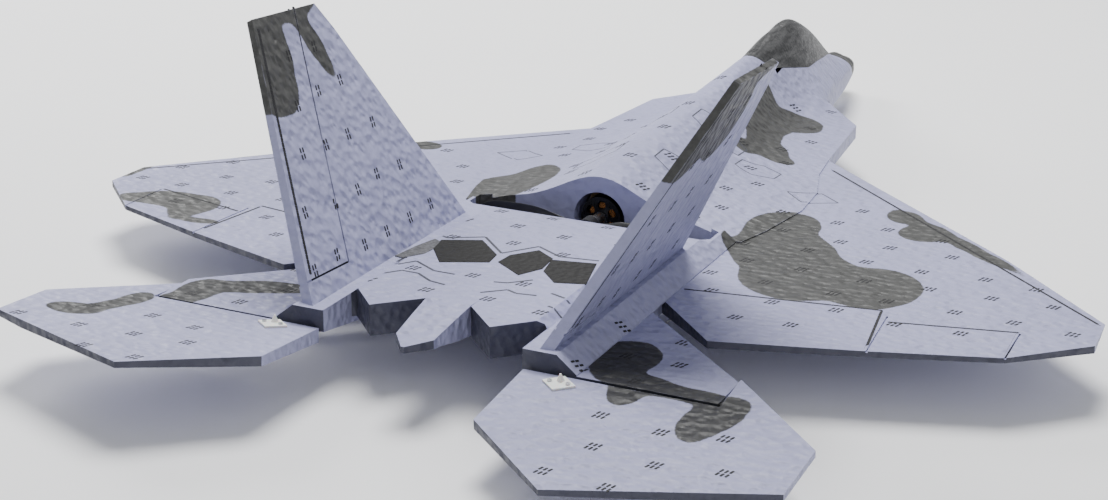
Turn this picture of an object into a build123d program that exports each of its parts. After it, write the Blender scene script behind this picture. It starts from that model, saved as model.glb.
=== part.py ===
from build123d import *
import os
from math import atan2, cos, degrees, exp, pi, radians, sin, sqrt, tan

# Foam RC jet with a mid-mounted pusher propeller. All sizes are in millimetres.
# Drawing frame: X to starboard, Y forward, Z up, wing top surface at z = 0.
# At the end every piece is lifted and shifted so that the whole model stands on z = 0
# with its bounding box centred on the origin.

# ---------------------------------------------------------------- driving dimensions
WING_TIP_X = 335.2
WING_ROOT_X = 91.6
WING_ROOT_DEPTH = 10.5
WING_TIP_DEPTH = 5.0
WING_EDGE_DEPTH = 4.4

NOSE_TIP_Y = 622.0
CAP_JOINT_Y = 600.0
BODY_FLOOR_Z = -9.0
NOTCH_X = 40.5
NOTCH_Y = 444.0
BELLY_Z = -38.0

SLOT_HALF_WIDTH = 85.0
SLOT_REAR_Y = 74.0
SLOT_FRONT_Y = 102.0

DECK_Z = 15.0
BOOM_Z = 10.4
BOOM_INNER_X = 62.7
BOOM_TOP_OUTER_X = 83.0
BOOM_FOOT_X = 95.0
NOZZLE_NOTCH_Y = -106.5
NOZZLE_APEX_Y = -130.0
NOZZLE_FLOOR_Z = -4.0

FIN_CANT = 28.6
FIN_ROOT_X = 75.5
FIN_THICK_ROOT = 7.0
FIN_THICK_TIP = 4.2

STAB_OUTER_X = 175.9
STAB_DEPTH = 8.6
HINGE_GAP = 2.4
HINGE_Y = -140.7
HINGE_Z = -4.3
# Rest turn of each moving tail about +X; positive lowers the trailing edge.
TAIL_LEFT_REST = -4.5
TAIL_RIGHT_REST = 6.0

LINK_X = 90.0
LINK_RADIUS = 15.0
SERVO_Y = 40.0
ROD_RADIUS = 0.75
PIN_PLAY = 0.07

PROP_Y = 84.5
PROP_Z = 1.4
PROP_RADIUS = 76.2
PROP_PITCH = 101.6
PROP_REST_TURN = 2.4
MOTOR_RADIUS = 14.0
MOTOR_BORE = 18.0
MOUNT_PLATE_Y = 126.0

HATCH_REAR_Y = 376.0
HATCH_FRONT_Y = 567.0
HATCH_GAP = 0.3
HATCH_SKIN = 3.0
MAGNET_YS = (386.5, 550.0)
MAGNET_DEPTH = 2.2

EMBOSS = 1.0
LEAD_RADIUS = 1.2
LARGEST_BEND = 40.0

# The model's bounding box, used to place the origin.
REAR_END_Y = -250.5
LIFT = -BELLY_Z
SHIFT_Y = -(NOSE_TIP_Y + REAR_END_Y) / 2

NODES = {}


def keep(name, shape):
    """Stores one sub-part under its node name."""
    NODES[name] = shape


# ---------------------------------------------------------------- small helpers
def block(x0, x1, y0, y1, z0, z1):
    """An axis-aligned box between two corners."""
    centre = ((x0 + x1) / 2, (y0 + y1) / 2, (z0 + z1) / 2)
    return Pos(*centre) * Box(abs(x1 - x0), abs(y1 - y0), abs(z1 - z0))


def slab(points, z0, z1):
    """A plan outline, given as (x, y) points, between two heights."""
    face = make_face(Polyline(*points, close=True))
    return extrude(Pos(0, 0, z0) * face, amount=z1 - z0, dir=(0, 0, 1))


def bar(points, y0, y1):
    """A cross-section, given as (x, z) points, run along Y."""
    plane = Plane(origin=(0, y1, 0), x_dir=(1, 0, 0), z_dir=(0, -1, 0))
    face = make_face(Polyline(*points, close=True))
    return extrude(plane * face, amount=y1 - y0, dir=(0, -1, 0))


def side_plate(points, x0, x1):
    """A side outline, given as (y, z) points, between two x positions."""
    plane = Plane(origin=(x0, 0, 0), x_dir=(0, 1, 0), z_dir=(1, 0, 0))
    face = make_face(Polyline(*points, close=True))
    return extrude(plane * face, amount=x1 - x0, dir=(1, 0, 0))


def rod(start, end, radius):
    """A round bar from one point to another."""
    run = Vector(*end) - Vector(*start)
    plane = Plane(origin=start, z_dir=run)
    return extrude(plane * Circle(radius), amount=run.length)


def corner_radii(points):
    """The largest sensible arc at each corner of a lead's route."""
    corners = [Vector(*point) for point in points]
    radii = []
    for before, here, after in zip(corners, corners[1:], corners[2:]):
        run_in = here - before
        run_out = after - here
        turn = radians(run_in.get_angle(run_out))
        radii.append(min(0.45 * min(run_in.length, run_out.length) / tan(turn / 2), LARGEST_BEND))
    return radii


def wire(points, radius):
    """A round lead along straight runs joined by tangent arcs."""
    path = FilletPolyline(*points, radius=corner_radii(points))
    plane = Plane(origin=path @ 0, z_dir=path % 0)
    return sweep(plane * Circle(radius), path=path)


def mirrored(shape):
    """The same shape on the port side."""
    return mirror(shape, about=Plane.YZ)


def on_both_sides(points):
    """A closed outline made from its starboard half, listed from front to rear."""
    return points + [(-x, y) for x, y in reversed(points)]


def groove(start, end, width, depth=EMBOSS, top=0.0):
    """A cutter for a straight engraved line in a level surface."""
    run_x = end[0] - start[0]
    run_y = end[1] - start[1]
    length = sqrt(run_x ** 2 + run_y ** 2)
    centre = ((start[0] + end[0]) / 2, (start[1] + end[1]) / 2, top)
    turn = Rot(0, 0, degrees(atan2(run_y, run_x)))
    return Pos(*centre) * turn * Box(length + width, width, 2 * depth)


def grooves(points, width, depth=EMBOSS, top=0.0):
    """Cutters for an engraved line through several points."""
    return [groove(a, b, width, depth, top) for a, b in zip(points, points[1:])]


def keep_above(shape, first, second, third):
    """Removes what lies below the plane through three points."""
    a, b, c = Vector(*first), Vector(*second), Vector(*third)
    normal = (b - a).cross(c - a).normalized()
    if normal.Z < 0:
        normal = normal * -1
    return split(shape, bisect_by=Plane(origin=first, z_dir=normal), keep=Keep.TOP)


def turned(shape, degrees_about_x, centre_y, centre_z):
    """Turns a shape about a line parallel to X."""
    return Pos(0, centre_y, centre_z) * Rot(degrees_about_x, 0, 0) * Pos(0, -centre_y, -centre_z) * shape


def blend(value, table):
    """Straight-line reading of a small table of (position, value) rows."""
    for (y0, v0), (y1, v1) in zip(table, table[1:]):
        if y0 <= value <= y1:
            return v0 + (v1 - v0) * (value - y0) / (y1 - y0)
    return table[0][1] if value < table[0][0] else table[-1][1]


# ---------------------------------------------------------------- upper surface of the body
# Height of the spine, height of the flat shoulders, and width of the hump, along Y.
SPINE = [(102, 30), (150, 33), (200, 36), (290, 41), (330, 44.5), (385, 49),
         (420, 55), (452, 57.5), (480, 53.5), (505, 43), (530, 29), (552, 14), (567, 5.5), (583, 3.5),
         (600, -1.5)]
SHOULDER = [(102, 7), (200, 6), (300, 3), (390, 2), (444, 1)]
HUMP = [(102, 39), (200, 38), (300, 33), (385, 25), (420, 25), (452, 24), (480, 21), (530, 15), (567, 12)]
FAIRING_EDGE = [(102, 98), (130, 105), (180, 112), (220, 109), (260, 97), (300, WING_ROOT_X), (390, 83)]
FAIRING_LIP = 0.8
DOME_RISE = [(370, 0), (385, 1), (444, 14)]
DOME_HALF = [(370, 64), (444, 40.5)]

# The nose barrel: half-width, chine height, dome above the chine and depth below it.
BARREL = [
    # y, half width, chine z, dome, depth
    (394, 47, 0, 16, 31),
    (444, 40.5, 0, 15, 30),
    (480, 36, -1, 14, 28.5),
    (505, 32, -2, 13, 26.5),
    (530, 28.5, -3.5, 12, 24),
    (552, 25, -5, 11.5, 21.5),
    (575, 20.5, -7.5, 11, 17),
    (CAP_JOINT_Y, 15, -10, 8.5, 12),
]


def upper_height(x, y):
    """Height of the top skin at one point, from the slot to the chine's forward notch."""
    edge = blend(y, FAIRING_EDGE)
    shoulder = blend(y, SHOULDER)
    t = min(max((abs(x) - 0.6 * edge) / (0.4 * edge), 0), 1)
    ramp = 1 - t * t * (3 - 2 * t)
    across = abs(x) / blend(y, DOME_HALF)
    dome = blend(y, DOME_RISE) * sqrt(max(1 - across ** 2, 0))
    hump = (blend(y, SPINE) - shoulder - blend(y, DOME_RISE)) * exp(-(x / blend(y, HUMP)) ** 2)
    return FAIRING_LIP + (shoulder - FAIRING_LIP) * ramp + dome + hump


def top_skin():
    """Smooth surface through the heights above."""
    columns = [-125 + 250 * i / 40 for i in range(41)]
    rows = [SLOT_FRONT_Y - 6 + 356 * j / 44 for j in range(45)]
    grid = [[Vector(x, y, upper_height(x, y)) for y in rows] for x in columns]
    return Face.make_surface_from_array_of_points(grid, tol=0.15, min_deg=3, max_deg=5)


def barrel_section(y, half, chine, dome, depth):
    """One closed section of the nose barrel."""
    hump = blend(y, SPINE) - chine - dome
    width = blend(y, HUMP)
    angles = [0, 14, 28, 42, 56, 70, 82, 90]
    half_top = []
    for angle in angles:
        x = half * sin(radians(angle))
        z = chine + dome * cos(radians(angle)) + hump * exp(-(x / width) ** 2)
        half_top.append((x, z))
    half_top[-1] = (half, chine)
    top = Spline(*([(-x, z) for x, z in reversed(half_top)] + half_top[1:]))
    lower = []
    for angle in [90, 72, 54, 36, 18, 0, -18, -36, -54, -72, -90]:
        x = half * sin(radians(angle))
        lower.append((x, chine - depth * cos(radians(angle)) ** 0.6))
    lower[0] = (half, chine)
    lower[-1] = (-half, chine)
    bottom = Spline(*lower)
    plane = Plane(origin=(0, y, 0), x_dir=(1, 0, 0), z_dir=(0, -1, 0))
    return plane * make_face(top + bottom)


def body_plan():
    """Plan outline of the upper moulding ahead of the propeller slot."""
    half = [(NOTCH_X, NOTCH_Y), (83, 390), (WING_ROOT_X, 300), (97, 260), (109, 220), (112, 180),
            (105, 130), (98, SLOT_FRONT_Y)]
    return on_both_sides(half)


def hatch_plan(gap=0.0):
    """Teardrop plan outline of the canopy, from the rear tip round the port side."""
    half = [(0, HATCH_REAR_Y + gap), (12, 386), (21, 405), (25, 432), (23.5, 465), (19, 500), (13.5, 530),
            (8.5, 552), (0, HATCH_FRONT_Y - gap)]
    curve = Spline(*[(max(x - gap, 0), y) for x, y in half])
    return make_face(curve + mirror(curve, about=Plane.YZ))


def hatch_tool(gap=0.0):
    """The space above the sloping hatch seam, inside the teardrop."""
    tall = extrude(hatch_plan(gap), amount=90, dir=(0, 0, 1))
    return keep_above(tall, (0, 376, 40 + gap), (10, 376, 40 + gap), (0, 567, 2 + gap))


upper_body = extrude(top_skin(), amount=70, dir=(0, 0, -1)) & slab(body_plan(), 0, 80)
barrel = loft([barrel_section(*row) for row in BARREL]) - block(-60, 60, 390, NOTCH_Y, 0, 80)

# ---------------------------------------------------------------- fuselage, front half
FLOOR_PLAN = [(NOTCH_X, NOTCH_Y), (83, 390), (WING_ROOT_X, 300), (WING_ROOT_X, SLOT_FRONT_Y)]
front_body = upper_body + slab(on_both_sides(FLOOR_PLAN), BODY_FLOOR_Z, 0) + barrel

# ---------------------------------------------------------------- fuselage, rear half
DECK_SECTION = [(-BOOM_FOOT_X, 0), (-BOOM_FOOT_X, 0.8), (-BOOM_TOP_OUTER_X, BOOM_Z), (-63, BOOM_Z), (-57, DECK_Z),
                (57, DECK_Z), (63, BOOM_Z), (BOOM_TOP_OUTER_X, BOOM_Z), (BOOM_FOOT_X, 0.8), (BOOM_FOOT_X, 0),
                (WING_ROOT_X, 0), (WING_ROOT_X, BODY_FLOOR_Z), (-WING_ROOT_X, BODY_FLOOR_Z), (-WING_ROOT_X, 0)]
BOOM_REAR_Y = HINGE_Y + HINGE_GAP / 2


def rear_deck():
    """Deck, booms, nozzle blocks and beaver tail behind the slot."""
    deck = bar(DECK_SECTION, BOOM_REAR_Y, SLOT_FRONT_Y)
    # The deck rolls down towards the slot.
    roll = side_plate([(38, DECK_Z), (58, 13.4), (SLOT_REAR_Y, 8.6), (SLOT_REAR_Y, 40), (38, 40)], -110, 110)
    rail_top = block(-110, 110, SLOT_REAR_Y, SLOT_FRONT_Y, 7.0, 40)
    deck = deck - roll - rail_top
    # Space behind the nozzles, between the booms.
    nozzle_cut = [(BOOM_INNER_X, BOOM_REAR_Y - 1), (BOOM_INNER_X, NOZZLE_NOTCH_Y - 2), (60.4, NOZZLE_NOTCH_Y),
                  (38, NOZZLE_APEX_Y), (14.3, NOZZLE_NOTCH_Y)]
    deck = deck - slab(on_both_sides(nozzle_cut), -30, 30)
    # Undersides of the nozzle blocks step up from the floor.
    deck = deck - block(-BOOM_INNER_X, BOOM_INNER_X, -160, -70, BODY_FLOOR_Z - 1, NOZZLE_FLOOR_Z)
    # Boom ends are thinner than the boom.
    for side in (1, -1):
        wedge = side_plate([(-100, BODY_FLOOR_Z - 1), (-100, BODY_FLOOR_Z), (-145, -2), (-145, BODY_FLOOR_Z - 1)],
                           BOOM_INNER_X, WING_ROOT_X)
        deck = deck - (wedge if side > 0 else mirrored(wedge))
    beaver_side = [(-95, DECK_Z), (-106.4, 15.4), (-125, 12.2), (-146, 8.2), (-160.2, 7.4), (-160.2, 3.6),
                   (-140, 2.4), (-120, -1.4), (-95, NOZZLE_FLOOR_Z)]
    beaver = side_plate(beaver_side, -20, 20)
    beaver_plan = [(14.3, -94), (14.3, -106.4), (11.8, -146), (1, -160.2)]
    beaver = beaver & slab(on_both_sides(beaver_plan), -20, 30)
    # A shallow keel fairs the deck's underside into the belly ahead of the slot.
    keel = side_plate([(SLOT_REAR_Y, BODY_FLOOR_Z + 1), (SLOT_REAR_Y, -24), (20, -20), (-62, BODY_FLOOR_Z + 1)], -46, 46)
    return deck + beaver + keel


def slot_tool():
    """The propeller slot, with rounded ends."""
    half = [(0, SLOT_FRONT_Y), (78, SLOT_FRONT_Y), (SLOT_HALF_WIDTH, 97), (SLOT_HALF_WIDTH, 82), (76, SLOT_REAR_Y + 1),
            (50, SLOT_REAR_Y), (0, SLOT_REAR_Y)]
    outline = half + [(-x, y) for x, y in reversed(half[1:-1])]
    return slab(outline, -60, 80)


fuselage = front_body + rear_deck() - slot_tool()

# Motor bore, rounded at its mouth, and the pocket for the mounting plate.
motor_bore = rod((0, SLOT_FRONT_Y - 1, PROP_Z), (0, MOUNT_PLATE_Y, PROP_Z), MOTOR_BORE)
mount_pocket = block(-21, 21, MOUNT_PLATE_Y, 131, PROP_Z - 17, PROP_Z + 17)
equipment_bay = block(-28, 28, 131, 394, BODY_FLOOR_Z - 1, 10)
battery_bay = block(-17.5, 17.5, 393, 520, -22, 46)
battery_bay = split(battery_bay, bisect_by=Plane(origin=(0, 376, 40), z_dir=(0, 0.195, 0.981)), keep=Keep.BOTTOM)
fuselage = fuselage - motor_bore - mount_pocket - equipment_bay - battery_bay

# ---------------------------------------------------------------- canopy hatch
hatch = front_body & hatch_tool(HATCH_GAP)
fuselage = fuselage - hatch_tool()
HOLLOW_HALF = [(0, 396), (14, 404), (19, 430), (17, 470), (12.5, 505), (6, 536), (0, 545)]
hollow_face = make_face(Polyline(*(HOLLOW_HALF + [(-x, y) for x, y in reversed(HOLLOW_HALF[1:-1])]), close=True))
hollow_space = extrude(hollow_face, amount=90, dir=(0, 0, 1))
hollow_space = hollow_space - block(-30, 30, 440, 448, -20, 100)   # leaves a rib across the canopy
hatch = hatch - (Pos(0, 0, -HATCH_SKIN) * front_body & hollow_space)

SEAM_NORMAL = Vector(0, 0.195, 0.981)


def seam_point(y):
    """The hatch seam on the centreline at one station."""
    return Vector(0, y, 40 - (y - HATCH_REAR_Y) * 38 / (HATCH_FRONT_Y - HATCH_REAR_Y))


def magnet(y, start, end):
    """A disc magnet set square to the hatch seam."""
    return rod(seam_point(y) + SEAM_NORMAL * start, seam_point(y) + SEAM_NORMAL * end, 3.0)


hatch_magnets = [magnet(y, HATCH_GAP, HATCH_GAP + MAGNET_DEPTH) for y in MAGNET_YS]
body_magnets = [magnet(y, -MAGNET_DEPTH, 0) for y in MAGNET_YS]
for y in MAGNET_YS:
    hatch = hatch - magnet(y, -1, HATCH_GAP + MAGNET_DEPTH)
    fuselage = fuselage - magnet(y, -MAGNET_DEPTH, 1)

# ---------------------------------------------------------------- nose cap
cap_rows = [
    (CAP_JOINT_Y, 15, -10, 8.5, 12),
    (610, 11.8, -11, 7, 9.5),
    (617, 8, -12, 5, 6.5),
    (NOSE_TIP_Y, 3.0, -13, 2, 2.5),
]


def cap_section(y, half, chine, dome, depth):
    """A plain oval section of the nose tip."""
    ring = []
    for step in range(16):
        angle = 2 * pi * step / 16
        rise = dome if sin(angle) > 0 else depth
        ring.append((half * cos(angle), chine + rise * sin(angle)))
    plane = Plane(origin=(0, y, 0), x_dir=(1, 0, 0), z_dir=(0, -1, 0))
    return plane * make_face(Spline(*ring, periodic=True))


keep("nose_cap", loft([cap_section(*row) for row in cap_rows]))

# ---------------------------------------------------------------- belly pan
BELLY_PROFILE = [(80, BODY_FLOOR_Z), (76, -29), (62, BELLY_Z)]
KEEL_PROFILE = [(38, BODY_FLOOR_Z), (35, -27), (24, -34)]
INTAKE_FACE_Y = 318.0
BELLY_FRONT_Y = 394.0
INTAKE_DEPTH = 46.0


def both_halves(points):
    """A closed cross-section made from its starboard half, listed from the top outwards."""
    return points + [(-x, z) for x, z in reversed(points)]


belly = bar(both_halves(BELLY_PROFILE), SLOT_FRONT_Y, INTAKE_FACE_Y + 14)
# The intake lips rake back towards the belly, and the tail of the pan sweeps up to the slot.
belly = keep_above(belly, (0, INTAKE_FACE_Y + 14, BODY_FLOOR_Z), (10, INTAKE_FACE_Y + 14, BODY_FLOOR_Z),
                   (0, INTAKE_FACE_Y - 10, BELLY_Z))
belly = keep_above(belly, (0, SLOT_FRONT_Y, -27), (10, SLOT_FRONT_Y, -27), (0, 150, BELLY_Z))
belly = belly + bar(both_halves(KEEL_PROFILE), INTAKE_FACE_Y - 40, BELLY_FRONT_Y)
for side in (1, -1):
    duct = block(side * 44, side * 73, INTAKE_FACE_Y - INTAKE_DEPTH, INTAKE_FACE_Y + 20, -32, -13)
    belly = belly - duct
belly = belly - block(-28, 28, 130, 385, -33, BODY_FLOOR_Z + 1) - block(-17.5, 17.5, 380, 395, -22, BODY_FLOOR_Z + 1)
belly = belly - motor_bore - mount_pocket

# ---------------------------------------------------------------- wings
SPLIT = (223.4, -35.3)
KINK = (294.5, -10.8)
FLAP_CORNER = (139.2, -60.8)
LEADING_TIP = (333.2, 79.4)
REAR_TIP = (WING_TIP_X, 29.4)
ROOT_TE = (WING_ROOT_X, -11.4)
WING_PLAN = [(WING_ROOT_X, 300), LEADING_TIP, REAR_TIP, KINK, SPLIT, FLAP_CORNER, ROOT_TE]
FLAP_LINE = [(97, 9.9), (212.7, 28.7)]
AILERON_LINE = [(221.5, 12.7), (292, 29.8)]
SLAT_LINE = [(100, 278), (331.5, 61.5)]
LINE_WIDTH = 1.1


def make_wing():
    """Starboard wing panel with its engraved control outlines."""
    wing = slab(WING_PLAN, -WING_ROOT_DEPTH, 0)
    wing = keep_above(wing, (WING_ROOT_X, 0, -WING_ROOT_DEPTH), (WING_ROOT_X, 100, -WING_ROOT_DEPTH),
                      (WING_TIP_X, 50, -WING_TIP_DEPTH))
    wing = keep_above(wing, (95, 12, -WING_ROOT_DEPTH + 0.2), (292, 30, -5.8),
                      (FLAP_CORNER[0], FLAP_CORNER[1], -WING_EDGE_DEPTH))
    wing = keep_above(wing, (WING_ROOT_X, 262, -WING_ROOT_DEPTH + 0.2), (320, 48, -5.2), (WING_ROOT_X, 300, -4.0))
    for edge in wing.edges().filter_by(lambda e: abs((e % 0.5).Z) < 0.01 and e.center().Z > -0.01):
        along = edge % 0.5
        if along.X * along.Y < 0 and abs(along.X) > 0.5 and edge.length > 200:
            wing = fillet(edge, 2.2)
            break
    cutters = grooves(FLAP_LINE, LINE_WIDTH) + grooves(AILERON_LINE, LINE_WIDTH) + grooves(SLAT_LINE, 0.7, 0.6)
    cutters += grooves([SPLIT, (218.5, 20.5)], LINE_WIDTH) + grooves([KINK, (293.5, 28)], LINE_WIDTH)
    for cutter in cutters:
        wing = wing - cutter
    return wing


wing = make_wing()

# ---------------------------------------------------------------- carbon spars
MAIN_SPAR_Y = 142.0
REAR_SPAR_Y = 62.0
SPAR_Z = -4.8
REAR_SPAR_Z = -3.0
main_spar = rod((-225, MAIN_SPAR_Y, SPAR_Z), (225, MAIN_SPAR_Y, SPAR_Z), 2.0)
rear_spar = rod((-180, REAR_SPAR_Y, REAR_SPAR_Z), (180, REAR_SPAR_Y, REAR_SPAR_Z), 1.2)
wing = wing - main_spar - rear_spar
fuselage = fuselage - main_spar - rear_spar

# ---------------------------------------------------------------- fixed stabilisers
STAB_REAR_Y = HINGE_Y + HINGE_GAP / 2
STAB_PLAN = [(WING_ROOT_X, -31), (STAB_OUTER_X, -108.3), (STAB_OUTER_X, STAB_REAR_Y), (WING_ROOT_X, STAB_REAR_Y)]
stab = slab(STAB_PLAN, -STAB_DEPTH, 0)
stab = keep_above(stab, (WING_ROOT_X, -31, -5), (STAB_OUTER_X, -108.3, -4.4), (130, STAB_REAR_Y, -STAB_DEPTH))

# ---------------------------------------------------------------- moving tails
TAIL_FRONT_Y = HINGE_Y - HINGE_GAP / 2
TAIL_STEP_X = STAB_OUTER_X + 2.0
TAIL_PLAN = [(64.7, TAIL_FRONT_Y), (TAIL_STEP_X, TAIL_FRONT_Y), (TAIL_STEP_X, -110.1), (238.1, -165.4),
             (237.2, -210.2), (125.4, REAR_END_Y), (64.7, -200.9)]
tail = slab(TAIL_PLAN, -STAB_DEPTH, 0)
tail = keep_above(tail, (64.7, TAIL_FRONT_Y, -STAB_DEPTH), (150, TAIL_FRONT_Y, -STAB_DEPTH), (125.4, REAR_END_Y, -3.6))
tail = keep_above(tail, (TAIL_STEP_X - 30, -140, -STAB_DEPTH), (TAIL_STEP_X - 30, -160, -STAB_DEPTH),
                  (238.1, -165.4, -3.8))

# ---------------------------------------------------------------- tail hinges
HINGE_XS = (72.0, 120.0, 165.0)
BARREL_RADIUS = 1.1
PIN_RADIUS = 0.5


def hinge_barrel(x0, x1, bore):
    """One knuckle of a nylon hinge."""
    outside = rod((x0, HINGE_Y, HINGE_Z), (x1, HINGE_Y, HINGE_Z), BARREL_RADIUS)
    return outside - rod((x0 - 1, HINGE_Y, HINGE_Z), (x1 + 1, HINGE_Y, HINGE_Z), bore)


def hinge_leaf(x0, x1, direction):
    """The flat leaf of a hinge, buried in the foam ahead of or behind the gap."""
    return block(x0, x1, HINGE_Y + direction * 0.8, HINGE_Y + direction * 9, HINGE_Z - 0.3, HINGE_Z + 0.3)


def clear_pin(shape, x):
    """Opens a leaf round the hinge pin."""
    return shape - rod((x - 7, HINGE_Y, HINGE_Z), (x + 7, HINGE_Y, HINGE_Z), PIN_RADIUS + PIN_PLAY)


fixed_leaves = []
moving_leaves = []
hinge_pins = []
for x in HINGE_XS:
    fixed = hinge_barrel(x - 1.5, x + 1.5, PIN_RADIUS) + clear_pin(hinge_leaf(x - 1.5, x + 1.5, 1), x)
    fixed = fixed + block(x - 5, x + 5, HINGE_Y + 1.6, HINGE_Y + 9, HINGE_Z - 0.3, HINGE_Z + 0.3)
    fixed_leaves.append(fixed)
    moving = block(x - 5, x + 5, HINGE_Y - 9, HINGE_Y - 1.6, HINGE_Z - 0.3, HINGE_Z + 0.3)
    for x0, x1 in ((x - 5, x - 1.6), (x + 1.6, x + 5)):
        moving = moving + hinge_barrel(x0, x1, PIN_RADIUS + PIN_PLAY) + clear_pin(hinge_leaf(x0, x1, -1), x)
    moving_leaves.append(moving)
    hinge_pins.append(rod((x - 5, HINGE_Y, HINGE_Z), (x + 5, HINGE_Y, HINGE_Z), PIN_RADIUS))

# ---------------------------------------------------------------- control horns
HORN_HOLE_Z = HINGE_Z - LINK_RADIUS
HORN_Y = HINGE_Y - 10.0
HORN_PLATE = 1.5
HORN_HALF = 7.0
HORN_ARM_HALF = 1.0
CLEVIS_PIN_RADIUS = 0.8


def diamond(z0, z1):
    """The horn's square base, set corner to the front."""
    corner = HORN_HALF * sqrt(2)
    points = [(LINK_X, HORN_Y + corner * 0.8), (LINK_X + corner, HORN_Y), (LINK_X, HORN_Y - corner * 0.8),
              (LINK_X - corner, HORN_Y)]
    return slab(points, z0, z1)


def make_horn():
    """Horn under the tail: a base plate with an arm down to the clevis pin."""
    under = -STAB_DEPTH
    arm = side_plate([(HORN_Y + 6, under), (HORN_Y - 6, under), (HINGE_Y - 3, HORN_HOLE_Z - 2.6),
                      (HINGE_Y + 1.6, HORN_HOLE_Z - 2.6), (HINGE_Y + 2.6, HORN_HOLE_Z), (HINGE_Y + 1.6, HORN_HOLE_Z + 2.6),
                      (HINGE_Y - 2, HORN_HOLE_Z + 5)], LINK_X - HORN_ARM_HALF, LINK_X + HORN_ARM_HALF)
    arm = arm - rod((LINK_X - 5, HINGE_Y, HORN_HOLE_Z), (LINK_X + 5, HINGE_Y, HORN_HOLE_Z), CLEVIS_PIN_RADIUS + PIN_PLAY)
    return diamond(under - HORN_PLATE, under) + arm


def make_horn_cap():
    """Clamping plate on top of the tail, with a short pointed stub at its front corner."""
    plate = diamond(0, 1.2)
    stub = Pos(LINK_X, HORN_Y + 2.5, 3.2) * Cone(2.2, 0.5, 4)
    return plate + stub


def make_horn_screws():
    """Two small screws that clamp the horn to its top plate."""
    screws = []
    for dx in (-5.4, 5.4):
        shank = rod((LINK_X + dx, HORN_Y, -STAB_DEPTH - HORN_PLATE), (LINK_X + dx, HORN_Y, 1.2), 0.6)
        head = rod((LINK_X + dx, HORN_Y, 1.2), (LINK_X + dx, HORN_Y, 2.0), 1.3)
        screws.append(shank + head)
    return screws


horn_screws = make_horn_screws()
horn = make_horn()
horn_cap = make_horn_cap()
tail = tail + diamond(-STAB_DEPTH, -STAB_DEPTH + 4)
for leaf in moving_leaves:
    tail = tail - leaf
for leaf in fixed_leaves:
    stab = stab - leaf
    fuselage = fuselage - leaf - mirrored(leaf)
for screw in horn_screws:
    tail = tail - screw
    horn = horn - screw
    horn_cap = horn_cap - screw
for x in HINGE_XS:
    shaft_room = rod((x - 5.2, HINGE_Y, HINGE_Z), (x + 5.2, HINGE_Y, HINGE_Z), BARREL_RADIUS + 0.25)
    tail = tail - shaft_room
    stab = stab - shaft_room

# ---------------------------------------------------------------- tail servos and linkages
SERVO_X0 = 58.8
SERVO_X1 = 81.3
SERVO_BACK_Y = SERVO_Y - 17.0
SERVO_FRONT_Y = SERVO_Y + 6.0
SERVO_HALF = 6.1
ARM_X0 = 86.4
ARM_X1 = 88.4
ROD_Z = HORN_HOLE_Z


def make_servo():
    """A nine-gram servo on its side, with its output boss facing outboard."""
    case = block(SERVO_X0, SERVO_X1, SERVO_BACK_Y, SERVO_FRONT_Y, HINGE_Z - SERVO_HALF, HINGE_Z + SERVO_HALF)
    case = fillet(case.edges().filter_by(Axis.X), 0.8)
    flange = block(74.8, 77.2, SERVO_BACK_Y - 4.7, SERVO_FRONT_Y + 4.7, HINGE_Z - SERVO_HALF, HINGE_Z + SERVO_HALF)
    for y in (SERVO_BACK_Y - 2.4, SERVO_FRONT_Y + 2.4):
        flange = flange - rod((70, y, HINGE_Z), (80, y, HINGE_Z), 1.0)
    boss = rod((SERVO_X1, SERVO_Y, HINGE_Z), (SERVO_X1 + 2.6, SERVO_Y, HINGE_Z), 5.6)
    spline = rod((SERVO_X1 + 2.6, SERVO_Y, HINGE_Z), (SERVO_X1 + 5.0, SERVO_Y, HINGE_Z), 2.3)
    return case + flange + boss + spline


def make_servo_arm():
    """Single-sided servo arm pointing down, with three linkage holes."""
    hub = rod((84.2, SERVO_Y, HINGE_Z), (ARM_X1, SERVO_Y, HINGE_Z), 3.5)
    hub = hub - rod((84.1, SERVO_Y, HINGE_Z), (86.3 + PIN_PLAY, SERVO_Y, HINGE_Z), 2.3 + PIN_PLAY)
    blade = side_plate([(SERVO_Y - 3, HINGE_Z), (SERVO_Y + 3, HINGE_Z), (SERVO_Y + 2.2, ROD_Z - 1.6),
                        (SERVO_Y + 1, ROD_Z - 2.6), (SERVO_Y - 1, ROD_Z - 2.6), (SERVO_Y - 2.2, ROD_Z - 1.6)],
                       ARM_X0, ARM_X1)
    arm = hub + blade
    for z, radius in ((ROD_Z, ROD_RADIUS + PIN_PLAY), (ROD_Z + 3.4, 0.6), (ROD_Z + 6.8, 0.6)):
        arm = arm - rod((80, SERVO_Y, z), (95, SERVO_Y, z), radius)
    return arm


def make_pushrod():
    """Steel wire with a Z-bend through the servo arm."""
    bend = 2.2
    route = [(85.2, SERVO_Y, ROD_Z), (LINK_X + 0.6, SERVO_Y, ROD_Z), (LINK_X, SERVO_Y - 6, ROD_Z),
             (LINK_X, HINGE_Y + 16, ROD_Z)]
    path = FilletPolyline(*route, radius=[bend, bend])
    return sweep(Plane(origin=path @ 0, z_dir=path % 0) * Circle(ROD_RADIUS), path=path)


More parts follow.
